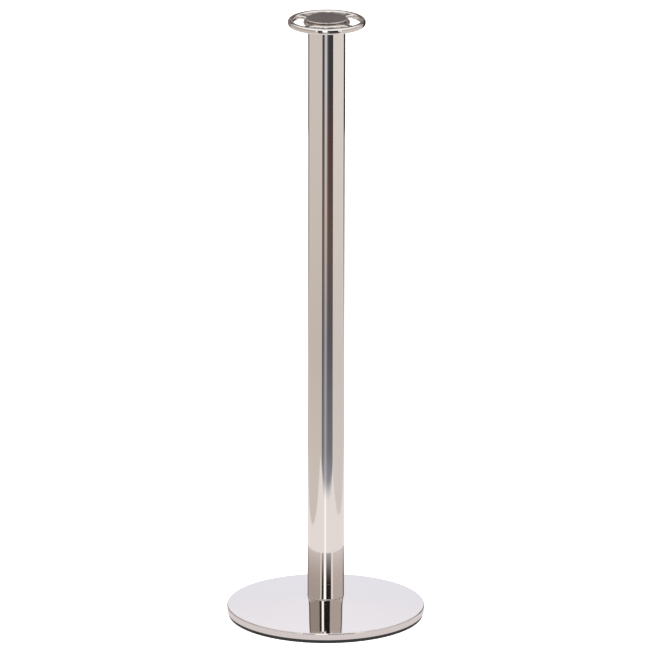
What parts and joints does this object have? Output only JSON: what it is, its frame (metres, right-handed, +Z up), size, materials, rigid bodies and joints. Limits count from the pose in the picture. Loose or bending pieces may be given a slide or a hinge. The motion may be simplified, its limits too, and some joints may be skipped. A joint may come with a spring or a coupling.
{
  "type": "rope barrier stanchion",
  "caption": "Polished rope barrier post: round weighted base, screw-on tube and a flat ring head with slots for rope hooks.",
  "frame": {"origin": "on the floor under the middle of the base", "axes": "+Z up along the tube, from base to cap; +X and +Y each point through the middle of a hook slot"},
  "size_m": [0.32, 0.32, 1],
  "materials": {
    "polished_steel": "mirror polished stainless steel",
    "polished_head": "polished and plated casting",
    "satin_steel": "satin",
    "zinc_steel": "bright zinc plated",
    "cast_iron": "black painted casting",
    "rubber": "matte",
    "nylon": "matte, natural ivory"
  },
  "bodies": {
    "base": {"floor_ring": "rubber", "base_weight": "cast_iron", "base_cover": "polished_steel", "base_stud": "zinc_steel", "lower_nut": "zinc_steel", "lower_lock_washer": "zinc_steel", "lower_washer": "zinc_steel", "upper_washer": "zinc_steel", "upper_nut": "zinc_steel"},
    "glide": {"glide_ring": "nylon"},
    "post": {"post_tube": "polished_steel", "foot_plug": "zinc_steel", "top_plug": "zinc_steel", "head_dowel": "zinc_steel", "head_ring": "polished_head", "cap_lock_washer": "zinc_steel", "cap_stud": "zinc_steel", "cap_disc": "satin_steel"}
  },
  "joints": [
    {"name": "post_lift", "type": "slide", "parent": "base", "child": "glide", "axis": [0, 0, 1], "range_m": [0, 0.0205]},
    {"name": "post_turn", "type": "hinge", "parent": "glide", "child": "post", "pos_m": [0, 0, 0.05], "axis": [0, 0, 1], "range_deg": [0, 3600]}
  ],
  "couplings": [
    {"joint": "post_lift", "follows": "post_turn", "m_per_rad": 0.00031831}
  ]
}
